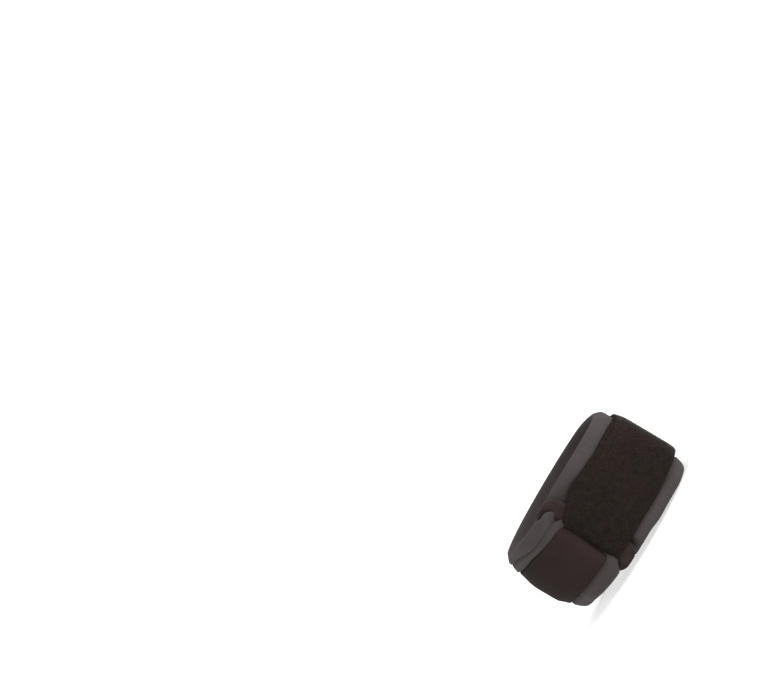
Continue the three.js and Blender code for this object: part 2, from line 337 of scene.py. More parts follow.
def fold_points(bar, share, reach, start, end, side):
    """Half a turn round a bar of the ring, between two heights over it."""
    turn = np.pi * share
    outward = outward_at(bar["angle"])
    towards = towards_upper_bar(bar["angle"]) * side
    height = mix(start, end, (1 - np.cos(turn)) / 2)
    x, y = around(bar["angle"], bar["lift"])
    x = x + towards.x * reach * np.sin(turn) + outward.x * height
    y = y + towards.y * reach * np.sin(turn) + outward.y * height
    return x, y


def stretch(x, y, hand=(0, 0), elbow=(0, 0), **values):
    """Stations of a strip at these points. A single value is repeated for each of them.

    hand and elbow are the insets of the inner and the outer face on each side.
    """
    made = {"x": x, "y": y}
    values["hand_inner"], values["hand_outer"] = hand
    values["elbow_inner"], values["elbow_outer"] = elbow
    for key, value in values.items():
        made[key] = np.broadcast_to(np.asarray(value, float), x.shape).copy()
    return made


def joined_path(stretches):
    """Joins stretches of stations, and adds distances along and the direction through the strip."""
    path = {key: np.concatenate([part[key] for part in stretches]) for key in stretches[0]}
    step_x = np.gradient(path["x"])
    step_y = np.gradient(path["y"])
    length = np.hypot(step_x, step_y)
    path["normal_x"] = step_y / length
    path["normal_y"] = -step_x / length
    steps = np.hypot(np.diff(path["x"]), np.diff(path["y"]))
    path["along"] = np.concatenate([[0.0], np.cumsum(steps)])
    return path


def corner_inset(from_end, corner):
    """Inset of a rounded corner at a distance from the end of a strip."""
    short = np.clip(corner - from_end, 0, 0.998 * corner)
    return corner - np.sqrt(corner**2 - short**2)


def elbow_inset(angle):
    """Inset of the band's elbow-side rim."""
    upper = UPPER_ELBOW_INSETS["side"] * upper_way("elbow_side_in", angle)
    upper = upper + UPPER_ELBOW_INSETS["end"] * upper_way("elbow_end_in", angle)
    lower = ELBOW_INSETS["underside"] * lower_way("elbow_drawn_in", angle)
    return upper + mix(lower, ELBOW_INSETS["ring"], lower_way("elbow_at_ring", angle))


def curl_weight(angle):
    """1 at the underside, where the rims turn in, and 0 at the ring and at the back."""
    return lower_way("rims_curl", angle) * (1 - lower_way("rims_uncurl", angle))


def strap_offset(angle):
    """How far the lower strap lies towards the hand."""
    underside = LOWER_STRAP_OFFSETS["underside"] * lower_way("strap_aside", angle)
    return mix(underside, LOWER_STRAP_OFFSETS["ring"], lower_way("neck", angle))


def strap_insets(angle):
    """How much the lower strap narrows on its hand side and on its elbow side."""
    hand = LOWER_STRAP_INSETS["hand"] * lower_way("neck", angle)
    elbow = LOWER_STRAP_INSETS["elbow"] * lower_way("strap_aside", angle)
    return hand, elbow


def strap_edges(angle):
    """How far the lower strap's two edges lie from the band's middle."""
    hand_in, elbow_in = strap_insets(angle)
    hand = LOWER_STRAP_WIDTH / 2 - hand_in + strap_offset(angle)
    elbow_share = 1 - 2 * elbow_inset(angle) / BAND_WIDTH
    elbow = (LOWER_STRAP_WIDTH / 2 - elbow_in - strap_offset(angle)) / elbow_share
    return hand, elbow


def strap_sunk(angle, place):
    """How deep the lower strap is drawn into the foam, most of all along its edges."""
    hand = STRAP_SUNK["hand"] * ease(place, 4, 15.5)
    elbow = STRAP_SUNK["elbow"] * ease(-place, 5, 12.5)
    edges = np.where(place > 0, hand, elbow)
    level = STRAP_LEVEL_SHARE * lower_way("strap_level", angle)
    return (STRAP_SUNK["middle"] + edges) * lower_way("strap_sinks", angle) * (1 - level)


def flap_hand_inset(angle):
    """How far the flap's hand-side edge is drawn in."""
    return eased_rows(angle, FLAP_HAND_INSETS["angle"], FLAP_HAND_INSETS["inset"])


def closure_elbow_inset(angle):
    """How far the closure strap's elbow-side edge is drawn in above the ring."""
    return CLOSURE_ELBOW_INSET * (hill(angle, 84.0, 17.0) + hill(angle, 97.0, 6.0))


def fold_slope(across):
    """How far the folds at the ring hang lower, more and more towards the elbow side."""
    return FOLD_SLOPE * ease(-across, -12, 12)


def band_path():
    """From the thin upper end over the top and the back to the ring, round its lower bar and in."""
    angle = np.linspace(BAND_START, RISE_START, STATIONS["round"], endpoint=False)
    thick = eased_rows(angle, BAND_ROWS["angle"], BAND_ROWS["thick"])
    x, y = around(angle, thick / 2)
    from_end = np.radians(BAND_START - angle) * HOLLOW_DEEP
    corner = corner_inset(from_end, UPPER_END_CORNER)
    drawn_in = UPPER_HAND_INSET * upper_way("hand_drawn_in", angle)
    hand = corner + drawn_in * (1 - upper_way("hand_let_out", angle))
    elbow = corner + elbow_inset(angle)
    round_the_arm = stretch(x, y, (hand, hand), (elbow, elbow), thick=thick, angle=angle, fold=0)

    share = np.linspace(0, 1, STATIONS["rise"], endpoint=False)
    bar_angle = LOWER_BAR["angle"] - 360
    over_bar = LOWER_BAR["lift"] + FOLD_CLEAR_RADIUS
    eased = ease(share, 0, 1)
    angle = mix(RISE_START, bar_angle, share)
    thick = mix(BAND_ROWS["thick"][-1], FOLD_THICK, eased)
    x, y = around(angle, over_bar * eased + thick / 2)
    hand = HAND_NECK_INSET * share**2
    elbow = elbow_inset(angle)
    rise = stretch(x, y, (hand, hand), (elbow, elbow), thick=thick, angle=angle, fold=0)

    share = np.linspace(0, 1, STATIONS["fold"], endpoint=False)
    start_height = FOLD_CLEAR_RADIUS + FOLD_THICK / 2
    end_height = -(FOLD_CLEAR_RADIUS + RETURN_THICK / 2)
    x, y = fold_points(LOWER_BAR, share, start_height, start_height, end_height, 1)
    thick = mix(FOLD_THICK, RETURN_THICK, fold_way("thin", share))
    inner = fold_way("inner_in_slot", share)
    hand_downs = (inner, fold_way("hand_in_slot", share))
    elbow_downs = (inner, fold_way("elbow_in_slot", share))
    hand = [mix(HAND_NECK_INSET, SLOT_HAND_INSET, down) for down in hand_downs]
    elbow = [mix(ELBOW_INSETS["ring"], SLOT_ELBOW_INSET, down) for down in elbow_downs]
    fold = stretch(x, y, hand, elbow, thick=thick, angle=bar_angle, fold=share)

    angle = np.linspace(LOWER_BAR["angle"], RETURN_END_ANGLE, STATIONS["return"])
    x, y = around(angle, LOWER_BAR["lift"] + end_height)
    hand = (SLOT_HAND_INSET, SLOT_HAND_INSET)
    elbow = (SLOT_ELBOW_INSET, SLOT_ELBOW_INSET)
    back = stretch(x, y, hand, elbow, thick=RETURN_THICK, angle=bar_angle, fold=1)
    return joined_path([round_the_arm, rise, fold, back])


def lower_strap_path(band):
    """On the band's outer face, from behind the top to the tip of the fold at the ring."""
    kept = (band["angle"] <= LOWER_STRAP_START) & (band["fold"] <= LOWER_STRAP_FOLD_SHARE)
    lift = band["thick"] / 2 + STRAP_CLEARANCE + LOWER_STRAP_THICK / 2
    angle = band["angle"][kept]
    hand, elbow = strap_insets(angle)
    part = stretch(
        (band["x"] + band["normal_x"] * lift)[kept],
        (band["y"] + band["normal_y"] * lift)[kept],
        (hand, hand),
        (elbow, elbow),
        thick=LOWER_STRAP_THICK,
        angle=angle,
        fold=band["fold"][kept],
        crown=band["thick"][kept] / BAND_THICK,
        offset=strap_offset(angle),
    )
    return joined_path([part])


def closure_path():
    """Sewn leg up to the ring, loop round its upper bar, then the flap back over the top."""

    def strap(x, y, angle, fold, crown):
        return stretch(
            x, y, thick=CLOSURE_THICK, angle=angle, fold=fold, crown=crown, offset=CLOSURE_OFFSET
        )

    def leg(start, end, on_band, at_bar, flap):
        angle = np.linspace(start, end, STATIONS["leg"])
        off = upper_way("strap_off_band", angle)
        x, y = around(angle, mix(on_band, at_bar, off))
        return strap(x, y, angle, flap, (1 if flap else -1) * (1 - off))

    bar_angle = UPPER_BAR["angle"]
    under = UPPER_BAR["lift"] - LOOP_HALF_HEIGHT
    over = UPPER_BAR["lift"] + LOOP_HALF_HEIGHT
    sewn = leg(CLOSURE_SEWN_ANGLE, bar_angle, CLOSURE_SEWN_LIFT, under, 0)
    share = np.linspace(0, 1, STATIONS["loop"])[1:-1]
    x, y = fold_points(UPPER_BAR, share, LOOP_REACH, -LOOP_HALF_HEIGHT, LOOP_HALF_HEIGHT, -1)
    loop = strap(x, y, bar_angle, share, 0)
    flap = leg(bar_angle, CLOSURE_END_ANGLE, CLOSURE_FLAP_LIFT, over, 1)
    path = joined_path([sewn, loop, flap])

    below = 1 - path["fold"]  # 1 on the sewn leg and 0 on the flap
    hand = np.maximum(flap_hand_inset(path["angle"]), SEWN_LEG_INSET * below)
    hand = hand + SEWN_LEG_HIDDEN * below
    hand = hand + FLAP_TIP_INSET * np.sin(np.pi * path["fold"])
    elbow = closure_elbow_inset(path["angle"])
    corner = corner_inset(path["along"][-1] - path["along"], CLOSURE_END_CORNER)
    for face in ("inner", "outer"):
        path["hand_" + face] = corner + hand
        path["elbow_" + face] = corner + elbow
    return path


# Strips of cloth


def flat_section(width, rim, end_round, outer_count, inner_count, rim_count):
    """Places round a strip's section: across it, and through it from -1 inside to 1 outside.

    The counts are of the places on the outer face, on the inner face and round each rim. The strip
    is thinned over end_round at its two ends.
    """
    flat = width / 2 - rim
    outer = np.linspace(flat, -flat, outer_count)
    inner = np.linspace(-flat, flat, inner_count)
    turn = np.linspace(0, np.pi, rim_count)[1:-1]
    across = [outer, -flat - rim * np.sin(turn), inner, flat + rim * np.sin(turn), outer[:1]]
    through = [np.ones(outer_count), np.cos(turn), -np.ones(inner_count), -np.cos(turn), [1.0]]
    return {
        "width": width,
        "end_round": end_round,
        "across": np.concatenate(across),
        "through": np.concatenate(through),
    }


def at(path, key, along):
    """A path's value at distances along it."""
    return np.interp(along, path["along"], path[key])


def wrapped(path, section, along, across, through, relief):
    """Points of a strip in metres. Its relief gives heights through it and shifts on the wall."""
    thick = at(path, "thick", along)
    angle = at(path, "angle", along)
    from_end = np.minimum(along, path["along"][-1] - along)
    short = 1 - np.clip(from_end / section["end_round"], 0, 1)
    rounded = mix(END_THIN, 1.0, np.sqrt(1 - short**2))
    outer = (through + 1) / 2
    hand = mix(at(path, "hand_inner", along), at(path, "hand_outer", along), outer)
    elbow = mix(at(path, "elbow_inner", along), at(path, "elbow_outer", along), outer)
    inset = np.where(across > 0, hand, elbow)
    place = across * (1 - 2 * inset / section["width"])
    if "crown" in path:
        place = place + at(path, "offset", along)
        fall = at(path, "crown", along) * BAND_CROWN * (place / BAND_SHOULDER) ** 4
    else:
        fall = outer * thick / BAND_THICK * BAND_CROWN * (across / BAND_SHOULDER) ** 4
    fall = fall + curl_weight(angle) * (
        HAND_CURL["slope"] * np.maximum(place - HAND_CURL["start"], 0)
        + ELBOW_CURL["slope"] * np.maximum(-place - ELBOW_CURL["start"], 0)
    )
    height, shift = relief(path, along, across, through)
    lift = through * rounded * thick / 2 - fall + height
    normal_x = at(path, "normal_x", along)
    normal_y = at(path, "normal_y", along)
    towards = towards_upper_bar(LOWER_BAR["angle"])
    x = at(path, "x", along) + normal_x * lift + towards.x * shift + CENTRE_X
    y = at(path, "y", along) + normal_y * lift + towards.y * shift + CENTRE_Y
    return np.stack([x, y, BAND_WIDTH / 2 + place], axis=1) * MM


def unit_grid(made, along, across, **settings):
    """Adds a flat grid from -0.5 to 0.5, with that many faces each way, and gives its vertices."""
    grid = bmesh.ops.create_grid(
        made, x_segments=along, y_segments=across, size=0.5, **settings
    )
    return grid["verts"]


def close_seams(made):
    """Merges the two sides of each seam, closes the ends and turns all faces outwards."""
    bmesh.ops.remove_doubles(made, verts=made.verts, dist=1e-7)
    bmesh.ops.holes_fill(made, edges=[edge for edge in made.edges if edge.is_boundary])
    bmesh.ops.recalc_face_normals(made, faces=made.faces)


def cloth_strip(name, path, section, relief, material):
    """A grid laid round the section and along the path, its seam merged and its ends closed."""
    sides_round = len(section["across"]) - 1
    length = path["along"][-1]
    half_thick = path["thick"].max() / 2
    sides = np.hypot(np.diff(section["across"]), np.diff(section["through"]) * half_thick)
    girth = np.concatenate([[0.0], np.cumsum(sides)])

    made = bmesh.new()
    cut = made.loops.layers.uv.new("Cut")
    unit_grid(made, round(length / CLOTH_SPACING), sides_round, calc_uvs=True)
    for face in made.faces:
        for corner in face.loops:
            place = round(corner[cut].uv.y * sides_round)
            corner[cut].uv = (corner[cut].uv.x * length / UV_SPAN, girth[place] / UV_SPAN)
    flat = np.array([vert.co for vert in made.verts])
    place = np.rint((flat[:, 1] + 0.5) * sides_round).astype(int)
    points = wrapped(
        path,
        section,
        (flat[:, 0] + 0.5) * length,
        section["across"][place],
        section["through"][place],
        relief,
    )
    for vert, point in zip(made.verts, points):
        vert.co = point
    close_seams(made)
    return finished(name, made, material)


def finished(name, made, material):
    """Turns a bmesh into a smooth piece of the scene."""
    mesh = bpy.data.meshes.new(name)
    made.to_mesh(mesh)
    made.free()
    mesh.shade_smooth()
    mesh.materials.append(material)
    piece = bpy.data.objects.new(name, mesh)
    bpy.context.scene.collection.objects.link(piece)
    return piece


def uneven(along, across, pitch, seed):
    """Slow random unevenness, from -1 to 1, that follows a strip."""
    spots = zip(along / pitch, across / pitch)
    return np.array([noise.noise(Vector((u, v, seed))) for u, v in spots])


# Finishes


def add_node(tree, kind, inputs=None, **settings):
    """A node with its settings; its inputs are values or sockets of other nodes."""
    made = tree.nodes.new(kind)
    for key, value in settings.items():
        setattr(made, key, value)
    for key, value in (inputs or {}).items():
        if isinstance(value, bpy.types.NodeSocket):
            tree.links.new(value, made.inputs[key])
        else:
            made.inputs[key].default_value = value
    return made


class Finish:
    """A material under construction: a Principled shader and short ways to add nodes to it."""

    MIX_COLOURS = (6, 7)  # a Mix node's two colours
    MIX_RESULT = 2

    def __init__(self, name, colour, **values):
        self.material = bpy.data.materials.new(name)
        self.material.use_nodes = True
        self.tree = self.material.node_tree
        self.shader = self.tree.nodes["Principled BSDF"]
        self.shader.inputs["Base Color"].default_value = (*colour, 1)
        for socket, value in values.items():
            self.shader.inputs[socket.replace("_", " ")].default_value = value

    def add(self, kind, inputs=None, **settings):
        return add_node(self.tree, kind, inputs, **settings)

    def math(self, operation, a, b=0.0):
        return self.add("ShaderNodeMath", {0: a, 1: b}, operation=operation).outputs[0]

    def total(self, first, *others):
        """Sum of several values."""
        for other in others:
            first = self.math("ADD", first, other)
        return first

    def cut(self):
        """The cut's own directions in millimetres: along the strip and round its section."""
        place = self.add("ShaderNodeUVMap", uv_map="Cut").outputs["UV"]
        scaled = self.add("ShaderNodeVectorMath", {0: place, "Scale": UV_SPAN}, operation="SCALE")
        split = self.add("ShaderNodeSeparateXYZ", {0: scaled.outputs[0]})
        return scaled.outputs[0], split.outputs["X"], split.outputs["Y"]

    def place(self):
        """The place in the part's frame, in metres."""
        return self.add("ShaderNodeTexCoord").outputs["Object"]

    def speckle(self, place, size, detail):
        """Noise from 0 to 1 with spots of about that size."""
        inputs = {"Vector": place, "Scale": 1 / size, "Detail": detail}
        return self.add("ShaderNodeTexNoise", inputs).outputs["Fac"]

    def ramp(self, value, low, high, start=0.0, end=1.0):
        """From start where the value is low to end where it is high."""
        inputs = {"Value": value, "From Min": low, "From Max": high, "To Min": start, "To Max": end}
        return self.add("ShaderNodeMapRange", inputs).outputs[0]

    def blend(self, share, a, b):
        """Colour from a to b, each a colour or a socket."""
        inputs = {"Factor": share}
        for index, value in zip(self.MIX_COLOURS, (a, b)):
            inputs[index] = value if isinstance(value, bpy.types.NodeSocket) else (*value, 1)
        return self.add("ShaderNodeMix", inputs, data_type="RGBA").outputs[self.MIX_RESULT]

    def colour(self, socket):
        self.tree.links.new(socket, self.shader.inputs["Base Color"])

    def roughness(self, socket):
        self.tree.links.new(socket, self.shader.inputs["Roughness"])

    def bump(self, height, depth):
        """Relief in the shading, that many millimetres deep."""
        inputs = {"Height": height, "Distance": depth * MM, "Strength": 1.0}
        made = self.add("ShaderNodeBump", inputs)
        self.tree.links.new(made.outputs[0], self.shader.inputs["Normal"])


def knit(finish, along, across, wale, course):
    """Height from 0 to 1 of a fine knit: columns of small V stitches."""
    column = finish.math("FRACT", finish.math("DIVIDE", across, wale))
    from_middle = finish.math("ABSOLUTE", finish.math("SUBTRACT", column, 0.5))
    lean = finish.math("MULTIPLY", from_middle, 1.3)
    phase = finish.math("ADD", finish.math("DIVIDE", along, course), lean)
    stitch = finish.math("SINE", finish.math("MULTIPLY", phase, 2 * math.pi))
    rib = finish.math("COSINE", finish.math("MULTIPLY", from_middle, 2 * math.pi))
    quarters = [finish.math("MULTIPLY", wave, 0.25) for wave in (stitch, rib)]
    return finish.total(*quarters, 0.5)


def foam_knit():
    """Grey fine-gauge knit over foam: matte, softly uneven in tone, with painted shade in the
    hollows of the knit.
    """
    finish = Finish(
        "foam_knit",
        (0.054, 0.0435, 0.0451),
        Roughness=0.95,
        Specular_IOR_Level=0.05,
        Sheen_Weight=0.05,
        Sheen_Roughness=0.5,
    )
    place, along, across = finish.cut()
    height = knit(finish, along, across, KNIT_WALE, KNIT_COURSE)
    clouds = finish.speckle(place, size=9.0, detail=3.0)
    lint = finish.speckle(place, size=0.35, detail=1.0)
    tone = finish.total(
        finish.ramp(clouds, 0.3, 0.7, -0.12, 0.12),
        finish.ramp(lint, 0.2, 0.8, -0.2, 0.2),
        # painted shade: the knit's hollows are coloured darker and its raised stitches lighter
        finish.ramp(height, 0.0, 1.0, 0.3, 0.62),
    )
    finish.colour(finish.blend(tone, (0.038, 0.0299, 0.0309), (0.070, 0.0572, 0.0594)))
    relief = finish.math("ADD", height, finish.math("MULTIPLY", lint, 0.5))
    finish.bump(relief, depth=0.09)
    return finish.material


def smooth_weave():
    """Smooth black strap: a close ribbed weave with a low satin sheen, painted darker towards the
    underside and lighter towards the ring, where it faces the light.
    """
    finish = Finish(
        "smooth_weave", (0.025, 0.0165, 0.0158), Roughness=0.7, Specular_IOR_Level=0.02
    )
    place, along, across = finish.cut()
    rib = finish.math("SINE", finish.math("MULTIPLY", across, 2 * math.pi / WEAVE_RIB))
    pick = finish.math("SINE", finish.math("MULTIPLY", along, 2 * math.pi / WEAVE_PICK))
    threads = finish.math("ADD", rib, finish.math("MULTIPLY", pick, 0.4))
    clouds = finish.speckle(place, size=12.0, detail=2.0)
    lint = finish.speckle(place, size=0.5, detail=1.0)
    tone = finish.total(
        finish.ramp(clouds, 0.3, 0.7, 0.3, 0.7),
        finish.ramp(lint, 0.2, 0.8, -0.12, 0.12),
        # painted light: darker towards the underside and lighter towards the ring, where the strap
        # faces the light
        finish.ramp(along, *WEAVE_PAINTED_LIGHT, -0.45, 0.2),
    )
    finish.colour(finish.blend(tone, (0.018, 0.0117, 0.0111), (0.0285, 0.0190, 0.0183)))
    finish.roughness(finish.ramp(clouds, 0.3, 0.7, 0.62, 0.76))
    finish.bump(finish.math("MULTIPLY", threads, 0.5), depth=0.035)
    return finish.material


def brushed_ground():
    """Ground cloth under the nap of the closure strap."""
    finish = Finish(
        "brushed_ground", (0.014, 0.010, 0.008), Roughness=0.95, Specular_IOR_Level=0.03
    )
    place = finish.cut()[0]
    felt = finish.speckle(place, size=0.7, detail=3.0)
    clouds = finish.speckle(place, size=3.2, detail=2.0)
    tone = finish.total(
        finish.ramp(felt, 0.25, 0.75, -0.3, 0.3), finish.ramp(clouds, 0.3, 0.7, 0.2, 0.8)
    )
    finish.colour(finish.blend(tone, (0.0085, 0.0060, 0.0046), (0.021, 0.0150, 0.0122)))
    finish.bump(felt, depth=0.35)
    return finish.material


def nap_fibre():
    """Fibres of the nap: a tone of its own for each loop, redder towards the top and its edge, and
    painted lighter at the top of that edge, as if lit from the top.
    """
    finish = Finish(
        "nap_fibre",
        (0.022, 0.0160, 0.0132),
        Roughness=0.8,
        Specular_IOR_Level=0.03,
        Sheen_Weight=0.38,
        Sheen_Roughness=0.25,
    )
    tone = finish.add("ShaderNodeAttribute", attribute_name="tone").outputs["Fac"]
    place = finish.place()
    split = finish.add("ShaderNodeSeparateXYZ", {0: place})
    upper, by_edge = [finish.ramp(split.outputs[axis], *NAP_REDDER_AND_PAINTED_LIGHT[axis]) for axis in ("X", "Z")]
    painted_light_and_red_edge = finish.math("MULTIPLY", upper, by_edge)
    # painted light: loops at the top of the hand-side edge are made lighter, where the light falls
    # from the top
    tone = finish.math("ADD", tone, finish.math("MULTIPLY", painted_light_and_red_edge, 0.55))
    patches = finish.ramp(finish.speckle(place, size=11.0 * MM, detail=2.0), 0.42, 0.6, 0.0, 0.75)
    redder = finish.math("MULTIPLY", finish.math("ADD", upper, painted_light_and_red_edge), 0.35)
    hue = finish.math("ADD", patches, redder)
    dark = finish.blend(hue, (0.0107, 0.0096, 0.0077), (0.0150, 0.0087, 0.0087))
    light = finish.blend(hue, (0.0332, 0.0300, 0.0254), (0.0475, 0.0280, 0.0286))
    finish.colour(finish.blend(tone, dark, light))
    return finish.material


def ring_plastic():
    """Moulded black plastic, satin, with a fine mould grain and faint scuffs."""
    finish = Finish(
        "ring_plastic", (0.027, 0.0187, 0.0177), Roughness=0.5, Specular_IOR_Level=0.04
    )
    place = finish.place()
    grain = finish.speckle(place, size=0.35 * MM, detail=2.0)
    scuffs = finish.speckle(place, size=4.0 * MM, detail=4.0)
    tone = finish.ramp(scuffs, 0.35, 0.7)
    finish.colour(finish.blend(tone, (0.0236, 0.0162, 0.0153), (0.0350, 0.0246, 0.0234)))
    finish.roughness(finish.ramp(scuffs, 0.3, 0.7, 0.42, 0.56))
    finish.bump(grain, depth=0.02)
    return finish.material


def sewing_thread():
    """Black twisted thread."""
    finish = Finish(
        "sewing_thread", (0.022, 0.015, 0.0142), Roughness=0.7, Specular_IOR_Level=0.1
    )
    ply = finish.speckle(finish.place(), size=0.2 * MM, detail=1.0)
    finish.colour(finish.blend(ply, (0.016, 0.0105, 0.0098), (0.029, 0.0200, 0.0190)))
    finish.bump(ply, depth=0.04)
    return finish.material


def pale_floor():
    """Matte studio floor, near white."""
    finish = Finish(
        "pale_floor",
        (0.9, 0.9, 0.895),
        Roughness=0.9,
        Specular_IOR_Level=0.1,
        Emission_Color=(1, 1, 1, 1),
        Emission_Strength=0.35,
    )
    clouds = finish.speckle(finish.place(), size=0.3, detail=2.0)
    finish.colour(finish.blend(clouds, (0.89, 0.89, 0.885), (0.92, 0.92, 0.915)))
    return finish.material


# Soft shapes


def beside_lower_strap(angle, across):
    """Full margins beside the lower strap, its bed, and rounder rims at the underside."""
    side = np.abs(across)
    edge = np.where(across > 0, *strap_edges(angle))
    beside = np.clip((side - edge - 0.2) / (MARGIN_RIM - edge), 0, 1)
    full = np.sqrt(np.sin(np.pi * beside))
    height = MARGINS_FULL["lower"] * full * lower_way("strap_bed", angle)
    bed = 1 - ease(side - edge, 0.0, np.where(across > 0, 1.2, 2.2))
    height -= strap_sunk(angle, across) * bed
    hand = RIMS_ROUNDER["hand"] * ease(across, 16.5, 19)
    hand = hand + RIMS_ROUNDER["hand_rim"] * ease(across, 22, 25.4)
    elbow = RIMS_ROUNDER["elbow"] * ease(side, 14, 18)
    height -= np.where(across > 0, hand, elbow) * curl_weight(angle)
    return height


def beside_flap(angle, across):
    """Margins beside the flap: its edges press into the band, and the rims beyond them stand up."""
    full = np.sin(np.pi * np.clip((np.abs(across) - 18.3) / 6.6, 0, 1))
    flap_hand = CLOSURE_WIDTH / 2 + CLOSURE_OFFSET - flap_hand_inset(angle)
    on_margin = ease(across - flap_hand, *MARGIN_STEP)
    hand_bed = FLAP_SUNK["hand"] * ease(across, *FLAP_SINKS["hand"]) * (1 - on_margin)
    elbow_bed = FLAP_SUNK["elbow"] * ease(-across, *FLAP_SINKS["elbow"])
    elbow_bed = elbow_bed * (1 - ease(-across, 18.3, 20.4))
    elbow_up = mix(ELBOW_RIM_UP["back"], ELBOW_RIM_UP["front"], upper_way("elbow_rim_up", angle))
    elbow_rim = elbow_up * ease(-across, 18.5, 24)
    hand_rim = HAND_RIM_UP * on_margin * (1 - ease(across, 22, 24.5))
    hand_rim = hand_rim * (1 - upper_way("hand_rim_down", angle))
    height = MARGINS_FULL["upper"] * full - (hand_bed + elbow_bed) + elbow_rim + hand_rim
    return height * (1 - lower_way("strap_bed", angle))


def beside_ring(angle, across, thick):
    """Elbow-side margin beside the ring, filled out over the thin tongue and pushed up."""
    flap_elbow = CLOSURE_WIDTH / 2 - CLOSURE_OFFSET - closure_elbow_inset(angle)
    height = (BAND_THICK - thick) * upper_way("margin_filled_out", angle)
    height = height + MARGIN_PUSHED_UP * upper_way("margin_pushed_up", angle)
    height = height * (1 - upper_way("tongue", angle))
    return height * ease(-across - flap_elbow, -0.4, 1.2)


def crease_depth(along, angle, across):
    """The long crease in the hand-side margin, which wanders a little."""
    line = mix(CREASE["underside"], CREASE["ring"], lower_way("crease_nears_strap", angle))
    line = line + CREASE["wander"] * np.sin(along / CREASE["wave"])
    near = np.exp(-np.abs(across - line) / CREASE["width"])
    return CREASE["depth"] * (near * lower_way("crease_opens", angle))


def ring_lobes(angle, fold, across):
    """Margins gathered over the ring: how high they swell and how far they reach along the wall."""
    at_fold = lower_way("lobes", angle) * (1 - fold_way("lobes_end", fold))
    height = 0.0
    reach = 0.0
    for name, lobe in LOBES.items():
        swell = hill(across, lobe["across"], lobe["width"]) * at_fold
        if name == "inner":
            swell = swell * fold_way("inner_lobe", fold)
        height = height + lobe["height"] * swell
        reach = reach + lobe["reach"] * swell
    return height, reach


def band_relief(path, along, across, through):
    """The band: margins, crease, hem, seam, gathers and unevenness, and lobes at the ring."""
    angle = at(path, "angle", along)
    fold = at(path, "fold", along)
    side = np.abs(across)
    height = beside_lower_strap(angle, across)
    height += beside_flap(angle, across)
    height += beside_ring(angle, across, at(path, "thick", along))
    height -= crease_depth(along, angle, across)
    hem = hill(fold, HEM["fold_share"], HEM["width"]) * ease(-across, 11, 13)
    height -= HEM["depth"] * hem
    seam_line = -(strap_edges(angle)[1] + SEAM["from_strap"])
    seam = hill(across, seam_line, SEAM["width"]) * lower_way("strap_bed", angle)
    height -= SEAM["depth"] * seam
    sway = GATHERS["sway"] * np.sin(along / GATHERS["wave"])
    gathers = np.sin(across * GATHERS["turn"] + sway) * ease(side, 13, 16)
    height += GATHERS["height"] * gathers * lower_way("gathers", angle)
    height += BAND_UNEVEN * uneven(along, across, pitch=11.0, seed=3.0) * ease(side, 12, 16)
    height *= np.clip(through, 0, 1) * (1 - fold_way("relief_ends", fold))

    swell, shift = ring_lobes(angle, fold, across)
    height += swell
    lower = fold_slope(across) * fold_way("aslant", fold) * (1 - ease(side, 12.5, 14.5))
    shift -= lower * (1 - fold_way("level_again", fold))
    return height, shift


def lower_strap_relief(path, along, across, through):
    """The smooth strap: drawn into the foam, grooved by its stitches, its fold a little aslant."""
    angle = at(path, "angle", along)
    groove = hill(np.abs(across), LOWER_STRAP_WIDTH / 2 - STITCH_FROM_EDGE, 0.5)
    height = -STITCH_GROOVE * groove * np.clip(through, 0, 1)
    height -= strap_sunk(angle, across + strap_offset(angle))
    height += LOWER_STRAP_UNEVEN * uneven(along, across, pitch=14.0, seed=8.0)
    return height, -fold_slope(across) * fold_way("aslant", at(path, "fold", along))


def closure_relief(path, along, across, through):
    """The brushed strap: edges sunk into the band, a flap that waves, its fold a little aslant."""
    angle = at(path, "angle", along)
    fold = at(path, "fold", along)
    side = np.abs(across)
    on_flap = fold_way("flap", fold)
    hand = FLAP_SUNK["hand"] * ease(side, *FLAP_SINKS["hand"])
    elbow = FLAP_SUNK["elbow"] * ease(side, *FLAP_SINKS["elbow"])
    sunk = np.where(across > 0, hand, elbow)
    along_edge = FLAP_EDGE_SUNK * ease(across, 13.5, 18.2)
    sunk += along_edge * on_flap * upper_way("flap_edge_sinks", angle)
    facing = 2 * fold - 1  # the sewn leg runs the other way, so its outer face looks inwards
    height = -facing * sunk * (1 - upper_way("strap_off_band", angle))
    wave = uneven(along, across, pitch=19.0, seed=5.0)
    height += FLAP_WAVE * (0.5 + 0.5 * wave) * ease(side, 9, 18) * on_flap
    ripple = uneven(along, across, pitch=6.0, seed=12.0)
    height += FLAP_RIPPLE * ripple * np.clip(through, 0, 1) * on_flap
    shift = -np.sin(np.pi * np.clip(fold, 0, 1)) * (LOOP_SAG + fold_slope(across))
    return height, shift


# Ring, stitches and nap


def round_off(made, geom, radius, affect, segments):
    """Rounds corners or edges off."""
    bmesh.ops.bevel(
        made,
        geom=geom,
        offset=radius,
        offset_type="OFFSET",
        affect=affect,
        segments=segments,
        profile=0.5,
        material=-1,
    )


